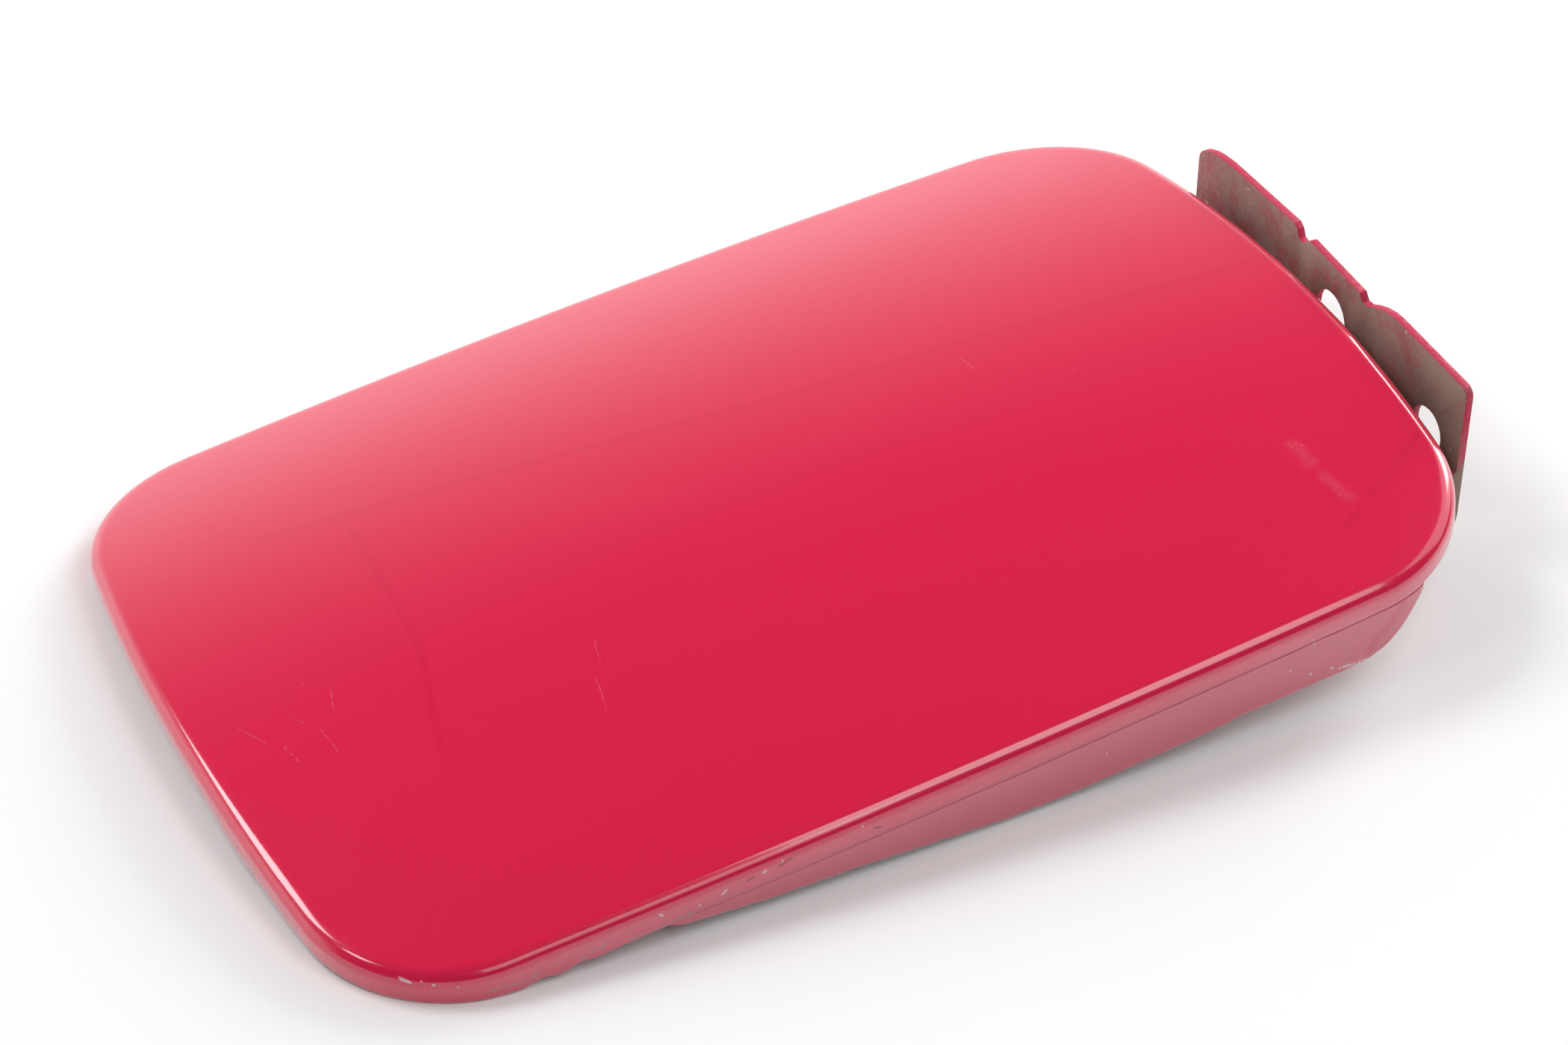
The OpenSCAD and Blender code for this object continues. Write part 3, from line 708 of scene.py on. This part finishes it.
def body_paint():
    material, tree, shader = finish_named("body_paint", 0.2)
    spot = door_place(tree)
    wall = use(tree, below_edge, {"Place": spot})
    depth, side, end = (wall.outputs[name] for name in ("Depth", "Side", "End"))
    dirt = use(tree, grime, {"Place": spot, "Scale": 0.03, "Grain": 1.6})
    fine = dirt.outputs["Fine"]
    length_along = add(tree, "SeparateXYZ", {0: spot}).outputs[0]
    haze = times(tree, ramp(tree, depth, *HAZE_STARTS), ramp(tree, length_along, *HAZE_ALONG))
    haze = calc(tree, "MAXIMUM", haze, ramp(tree, depth, *HAZE_LOW_DOWN))
    haze = times(tree, haze, spread(tree, dirt.outputs["Cloud"], *HAZE_PATCHES))
    lines = [(a, b, PRINT_WIDTH) for line in PRINT_LINES for a, b in zip(line, line[1:])]
    prints = strokes(tree, spot, lines, PRINT_WAVER)
    dust = use(tree, specks, {"Place": spot, "Spacing": 7.0, "Size": 0.035, "Share": 0.4})
    flecks = use(tree, specks, {"Place": spot, "Spacing": 0.9, "Size": 0.6, "Share": 0.45})
    flecked = spread(tree, flecks.outputs[0], 0.3, 1.0)
    colour = layered(tree, PAINT_RED, [
        (haze, 1.0, WALL_HAZE),
        (prints, 0.2, PAINT_DEEP),
        (times(tree, strokes(tree, spot, SCRATCHES), fine), 0.4, PAINT_WORN),
        (times(tree, strokes(tree, spot, SCUFFS, SCUFF_WAVER), flecked), 0.3, PAINT_WORN),
        (times(tree, dust.outputs[0], ramp(tree, depth, *TOP_STOPS)), 0.3, PAINT_WORN),
        (times(tree, strokes(tree, side, RIM_SCUFFS), fine), 0.8, SCUFF_GREY),
        (times(tree, strokes(tree, end, END_SCUFFS), fine), 0.8, SCUFF_GREY),
        (strokes(tree, side, RIM_CRACKS), 0.8, CRACK),
        (strokes(tree, side, RIM_CHIPS), 0.9, PALE_CHIP_AND_HIGHLIGHT)])
    rough = calc(tree, "ADD", times(tree, fine, GRAIN_ROUGH), spread(tree, haze, *PAINT_ROUGH))
    relief = calc(tree, "ADD", times(tree, fine, GRAIN_RELIEF),
                  times(tree, prints, PRINT_RELIEF))
    wire(tree, shader, colour, rough, relief, PAINT_RELIEF, PAINT_BUMP)
    shader.inputs["Coat Weight"].default_value = 1.0
    shader.inputs["Coat Roughness"].default_value = CLEAR_ROUGH
    return material


outer_skin.data.materials.append(body_paint())
print("Painted", outer_skin.name)

# %% [markdown]
# The inner panel was sprayed on the line, not polished after, so its red is duller. The skirts
# carry an even coat of dust, a little thinner low down. Along their lower edge, where the sheet
# turns down, a painted highlight lays a pale line, broken by fine noise. The edge is chipped near
# the hinge, where they strike the body, and painted shade darkens a band where the skirt turns
# round the hinge corner.

# %% Inner paint
PANEL_RED = (0.60, 0.016, 0.062, 1)
PANEL_HAZE = (0.71, 0.15, 0.205, 1)
SKIRT_CHIPS = [((165.7, 11.9), (165.7, 11.9), 0.5), ((170.1, 12.7), (170.1, 12.7), 0.5),
               ((171.6, 13.5), (176.9, 14.3), 0.5), ((166.4, 5.3), (166.4, 5.3), 0.3)]
# SKIRT_SHADE is painted shade: a darker band where the skirt turns round the hinge corner.
SKIRT_SHADE = [((177.6, 12.3), (184.3, 5.9), 1.8)]
SHADE_WAVER = 2.0
UPRIGHT, DOWNWARD = (0.7, 0.4), (-0.12, -0.3)
DUST_THINS, DUST_PATCHES, DUST_ON_FLATS = (8.0, 14.5, 1.0, 0.85), (0.95, 1.0), 0.35
BELOW_RIM, BROKEN = (6.5, 7.5), (0.2, 0.5)
PANEL_ROUGH, PANEL_CLEAR_ROUGH = (0.29, 0.33), 0.1
PANEL_RELIEF, PANEL_BUMP = 0.004, 0.2


def inner_paint():
    material, tree, shader = finish_named("inner_paint", 0.3)
    spot = door_place(tree)
    up = facing(tree)[2]
    wall = use(tree, below_edge, {"Place": spot})
    depth, side = wall.outputs["Depth"], wall.outputs["Side"]
    dirt = use(tree, grime, {"Place": spot, "Scale": 0.04, "Grain": 1.2})
    cloud, fine = dirt.outputs["Cloud"], dirt.outputs["Fine"]
    upright = ramp(tree, calc(tree, "ABSOLUTE", up), *UPRIGHT)
    coat = times(tree, ramp(tree, depth, *DUST_THINS), spread(tree, cloud, *DUST_PATCHES))
    haze = calc(tree, "MAXIMUM", times(tree, coat, upright), times(tree, cloud, DUST_ON_FLATS))
    # Painted highlight: a pale line where the skirt's lower edge turns to face downwards.
    lower_edge_highlight = times(tree, ramp(tree, up, *DOWNWARD), ramp(tree, depth, *BELOW_RIM))
    broken = ramp(tree, fine, *BROKEN)
    chips = use(tree, specks, {"Place": spot, "Spacing": 7.0, "Size": 0.06, "Share": 0.2})
    colour = layered(tree, PANEL_RED, [
        (haze, 1.0, PANEL_HAZE),
        # Painted shade band on the skirt at the hinge corner.
        (strokes(tree, side, SKIRT_SHADE, SHADE_WAVER), 0.3, PAINT_DEEP),
        # The painted highlight along the lower edge, in the pale chip colour.
        (times(tree, lower_edge_highlight, broken), 0.9, PALE_CHIP_AND_HIGHLIGHT),
        (chips.outputs[0], 0.5, PALE_CHIP_AND_HIGHLIGHT),
        (times(tree, strokes(tree, side, SKIRT_CHIPS), broken), 0.8, PALE_CHIP_AND_HIGHLIGHT)])
    wire(tree, shader, colour, spread(tree, fine, *PANEL_ROUGH), fine, PANEL_RELIEF, PANEL_BUMP)
    shader.inputs["Coat Weight"].default_value = 1.0
    shader.inputs["Coat Roughness"].default_value = PANEL_CLEAR_ROUGH
    return material


panel_paint = inner_paint()
inner_panel.data.materials.append(panel_paint)
print("Painted", inner_panel.name)

# %% [markdown]
# The bracket has grey-brown primer with the body's red blown over it. Its cut edges, and the
# ledge at the top, took the most red. The face is mottled, redder at the far end, greener and
# barer at the near one, and one corner of the near edge is knocked down to the steel. Lower
# down, the face is painted darker, as shade in the gap under the door.

# %% Primer
PRIMER = (0.37, 0.25, 0.205, 1)
# This darker primer is painted shade low down on the face, and also the colour of the mottle.
PRIMER_SHADE_AND_MOTTLE = (0.20, 0.085, 0.072, 1)
PRIMER_BARE = (0.34, 0.27, 0.215, 1)
OVERSPRAY = (0.42, 0.085, 0.095, 1)
EDGE_RED = (0.56, 0.022, 0.075, 1)
SPECK_PALE = (0.66, 0.56, 0.50, 1)
BARE_STEEL = (0.16, 0.17, 0.18, 1)
KNOCKS = [((-43.8, 33.3), (-46.2, 31.2), 1.8)]
BRIGHT_NICKS = [((-45.0, 30.2), (-46.6, 29.6), 0.8)]
KNOCK_WAVER = 0.5
NEAR_END = (-24.0, -38.0)
SPRAY_ALONG, SPRAY_FAR = (-42.0, -28.0, 0.1, 0.75), (26.0, 40.0, 0.0, 0.3)
ON_EDGE, EDGE_ABOVE = (0.35, 0.7), (14.0, 17.0)
DULL_TOP, DULL_FOOT, DULL_MOST = (23.5, 21.0), (16.5, 18.5, 1.0, 0.5), 0.45
SHADE_TOWARDS_FOOT = (31.0, 10.0)
PRIMER_ROUGH, PRIMER_RELIEF, PRIMER_BUMP = (0.5, 0.75), 0.06, 0.6


def primer():
    material, tree, shader = finish_named("primer", 0.6)
    spot = table_place(tree)
    along, height = (add(tree, "SeparateXYZ", {0: spot}).outputs[k] for k in (1, 2))
    faces = facing(tree)
    plate = add(tree, "CombineXYZ", {0: along, 1: height}).outputs[0]
    dirt = use(tree, grime, {"Place": spot, "Scale": 0.1, "Grain": 1.1})
    cloud, fine = dirt.outputs["Cloud"], dirt.outputs["Fine"]
    streaks = use(tree, grime, {"Place": spot, "Scale": 0.3, "Grain": 4.0})
    red = times(tree, times(tree, cloud, streaks.outputs["Cloud"]),
                ramp(tree, along, *SPRAY_ALONG))
    red = calc(tree, "ADD", red, ramp(tree, along, *SPRAY_FAR))
    pale = use(tree, specks, {"Place": spot, "Spacing": 3.2, "Size": 0.13, "Share": 0.35})
    up = ramp(tree, faces[2], *ON_EDGE)
    side = ramp(tree, calc(tree, "ABSOLUTE", faces[1]), *ON_EDGE)
    edge = calc(tree, "MAXIMUM", up, times(tree, side, ramp(tree, height, *EDGE_ABOVE)))
    dull = times(tree, ramp(tree, height, *DULL_TOP), ramp(tree, height, *DULL_FOOT))
    worn_edge = calc(tree, "SUBTRACT", 1.0, times(tree, dull, DULL_MOST))
    knock, nick = (times(tree, edge, strokes(tree, plate, lines, KNOCK_WAVER))
                   for lines in (KNOCKS, BRIGHT_NICKS))
    colour = layered(tree, PRIMER, [
        # Painted shade: darker towards the foot, in the gap under the door.
        (ramp(tree, height, *SHADE_TOWARDS_FOOT), 1.0, PRIMER_SHADE_AND_MOTTLE),
        (ramp(tree, along, *NEAR_END), 0.6, PRIMER_BARE),
        (red, 1.0, OVERSPRAY),
        (times(tree, fine, streaks.outputs["Fine"]), 0.3, PRIMER_SHADE_AND_MOTTLE),
        (pale.outputs[0], 0.75, SPECK_PALE),
        (times(tree, edge, worn_edge), 1.0, EDGE_RED),
        (knock, 1.0, BARE_STEEL), (nick, 0.9, SPECK_PALE)])
    wire(tree, shader, colour, spread(tree, fine, *PRIMER_ROUGH), fine, PRIMER_RELIEF,
         PRIMER_BUMP)
    return material


def dress(names, material):
    """Swaps the CAD nodes' plain material for a finished one."""
    for name in names:
        slots = nodes[name].data.materials
        slots.clear()
        slots.append(material)
    print(material.name, "on", ", ".join(names))


dress(["body_bracket"], primer())
dress(["door_hinge_channel", "latch_keeper"], panel_paint)

# %% [markdown]
# The pin and its clip are zinc-plated: a bluish grey metal, dulled and a little stained where it
# is handled. The stops are black rubber with a dusty bloom. Both are two colours in a cloud.

# %% Plated steel and rubber
ZINC, ZINC_STAIN = (0.50, 0.50, 0.49, 1), (0.36, 0.33, 0.29, 1)
ZINC_ROUGH, ZINC_RELIEF, ZINC_BUMP = (0.32, 0.55), 0.02, 0.4
BLACK, BLOOM = (0.018, 0.018, 0.019, 1), (0.05, 0.047, 0.045, 1)
RUBBER_ROUGH, RUBBER_RELIEF, RUBBER_BUMP = (0.62, 0.85), 0.05, 0.5


def plated_steel():
    material, tree, shader = finish_named("plated_steel", 0.4)
    dirt = use(tree, grime, {"Place": table_place(tree), "Scale": 0.25, "Grain": 3.0})
    cloud, fine = dirt.outputs["Cloud"], dirt.outputs["Fine"]
    wire(tree, shader, layered(tree, ZINC, [(cloud, 1.0, ZINC_STAIN)]),
         spread(tree, fine, *ZINC_ROUGH), fine, ZINC_RELIEF, ZINC_BUMP)
    shader.inputs["Metallic"].default_value = 1.0
    return material


def rubber():
    material, tree, shader = finish_named("rubber", 0.75)
    dirt = use(tree, grime, {"Place": door_place(tree), "Scale": 0.2, "Grain": 2.5})
    cloud, fine = dirt.outputs["Cloud"], dirt.outputs["Fine"]
    wire(tree, shader, layered(tree, BLACK, [(cloud, 1.0, BLOOM)]),
         spread(tree, fine, *RUBBER_ROUGH), fine, RUBBER_RELIEF, RUBBER_BUMP)
    return material


dress(["hinge_pin", "pin_clip"], plated_steel())
dress(["bump_stop_near", "bump_stop_far"], rubber())

# %% [markdown]
# The table is a large pale sheet. Seen by the camera, or in a reflection, it is lifted towards
# white, hardly at all where the door's shadow falls, and more and more with the distance.

# %% Table
TABLE_HALF = 12.0
TABLE_WHITE, PLAIN_WHITE = (0.92, 0.92, 0.92, 1), (1, 1, 1, 1)
TABLE_ROUGH, TABLE_GLOSS = 0.9, 0.1
LIFTED = (0.5, 2.5, 0.04, 0.95)


def pale_table():
    mesh = bpy.data.meshes.new("table")
    h = TABLE_HALF
    mesh.from_pydata([(-h, -h, 0), (h, -h, 0), (h, h, 0), (-h, h, 0)], [], [(0, 1, 2, 3)])
    table = bpy.data.objects.new("table", mesh)
    bpy.context.scene.collection.objects.link(table)
    material, tree, shader = finish_named("table_white", TABLE_ROUGH)
    shader.inputs["Base Color"].default_value = TABLE_WHITE
    shader.inputs["Specular IOR Level"].default_value = TABLE_GLOSS
    shader.inputs["Emission Color"].default_value = PLAIN_WHITE
    seen = add(tree, "LightPath")
    shown = calc(tree, "MAXIMUM", seen.outputs["Is Camera Ray"], seen.outputs["Is Glossy Ray"])
    shown = calc(tree, "MAXIMUM", shown, seen.outputs["Is Transmission Ray"])
    spot = add(tree, "TexCoord").outputs["Object"]
    away = add(tree, "VectorMath", {0: spot}, operation="LENGTH").outputs["Value"]
    own_light = times(tree, shown, ramp(tree, away, *LIFTED))
    tree.links.new(own_light, shader.inputs["Emission Strength"])
    mesh.materials.append(material)
    return table


print("Laid the", pale_table().name)

# %% [markdown]
# Small softboxes stand round the table. Each is given by the way it is seen from the door: how
# high, and how far round from straight behind, by the right. The key stands high behind to the
# left, so that the shadow falls to the front. The two on the right lighten that shadow, and the
# one in front lights the near wall. The small one on the left draws the thin line on the free
# corner, and a narrow strip the bright line along the near edge, where the sheet turns down.

# %% Light
LAMP_FAR = 1.2
SOFTBOXES = {"key": (50, -42, (0.5, 0.5), 6.0), "left": (52, -92, (0.2, 0.2), 0.9),
             "right": (38, 90, (0.9, 0.9), 3.4), "low_right": (26, 67, (0.5, 0.5), 5.8),
             "front": (40, 180, (0.5, 0.5), 1.3), "strip": (57.5, 148, (0.4, 0.9), 3.5)}
STRIP_ROLL = math.radians(-23.3)


def softbox(name, height, round_from_behind, size, power):
    """A rectangular lamp that faces the middle of the table."""
    up, turn = math.radians(height), math.radians(round_from_behind)
    at = LAMP_FAR * Vector((math.cos(up) * math.sin(turn), math.cos(up) * math.cos(turn),
                            math.sin(up)))
    lamp = bpy.data.lights.new(name, "AREA")
    lamp.shape = "RECTANGLE"
    lamp.size, lamp.size_y = size
    lamp.energy = power
    holder = bpy.data.objects.new(name, lamp)
    holder.location = at
    roll = STRIP_ROLL if name == "strip" else 0.0
    holder.rotation_euler = (at.to_track_quat("Z", "Y")
                             @ Quaternion((0, 0, 1), roll)).to_euler()
    bpy.context.scene.collection.objects.link(holder)


for name, (height, turn, size, power) in SOFTBOXES.items():
    softbox(name, height, turn, size, power)
print("Softboxes:", ", ".join(SOFTBOXES))

# %% [markdown]
# The world is a formula on the direction: a glow that starts below the height GLOW_TOP and only
# on the far side, and a dim room over the rest. The dark front draws the clear red line under
# the bright one along the near edge. Where the camera sees past the table, it is plain white.

# %% Room
GLOW_TOP, GLOW_POWER, GLOW_GAIN, GLOW_MOST = 0.76, 1.6, 5.05, 1.29
GLOW_FAR_SIDE = (-0.1, 0.35)
ROOM_DIM = 0.04


def studio_room():
    world = bpy.data.worlds.new("studio_room")
    bpy.context.scene.world = world
    world.use_nodes = True
    tree = world.node_tree
    towards = add(tree, "SeparateXYZ", {0: add(tree, "TexCoord").outputs["Generated"]})
    below = calc(tree, "MAXIMUM", calc(tree, "SUBTRACT", GLOW_TOP, towards.outputs[2]), 0.0)
    glow = times(tree, calc(tree, "POWER", below, GLOW_POWER), GLOW_GAIN)
    glow = calc(tree, "MINIMUM", glow, GLOW_MOST)
    glow = times(tree, glow, ramp(tree, towards.outputs[1], *GLOW_FAR_SIDE))
    light = calc(tree, "ADD", glow, ROOM_DIM)
    seen = add(tree, "LightPath").outputs["Is Camera Ray"]
    light = calc(tree, "MAXIMUM", light, seen)
    tree.links.new(light, tree.nodes["Background"].inputs["Strength"])
    tree.nodes["Background"].inputs["Color"].default_value = PLAIN_WHITE
    return world


print("Lit the", studio_room().name)

# %% [markdown]
# The camera stands to the left and in front, looking down at 39 degrees, as in the photograph.
# Its place and lens were worked out from the door's known outline.

# %% Camera
CAMERA_AT = Vector((-240.481, -470.279, 439.665)) * MM
CAMERA_TURN = [math.radians(a) for a in (50.99066, -0.08798, -27.11689)]
LENS, SENSOR_WIDTH = 91.1, 36.0
NEAREST_SEEN = 0.01

camera_data = bpy.data.cameras.new("camera")
camera_data.lens = LENS
camera_data.sensor_width = SENSOR_WIDTH
camera_data.clip_start = NEAREST_SEEN
camera = bpy.data.objects.new("camera", camera_data)
camera.location = CAMERA_AT
camera.rotation_euler = CAMERA_TURN
bpy.context.scene.collection.objects.link(camera)
bpy.context.scene.camera = camera
bpy.context.scene.view_settings.view_transform = "Standard"
print("Camera looks down from", [round(c, 3) for c in CAMERA_AT])
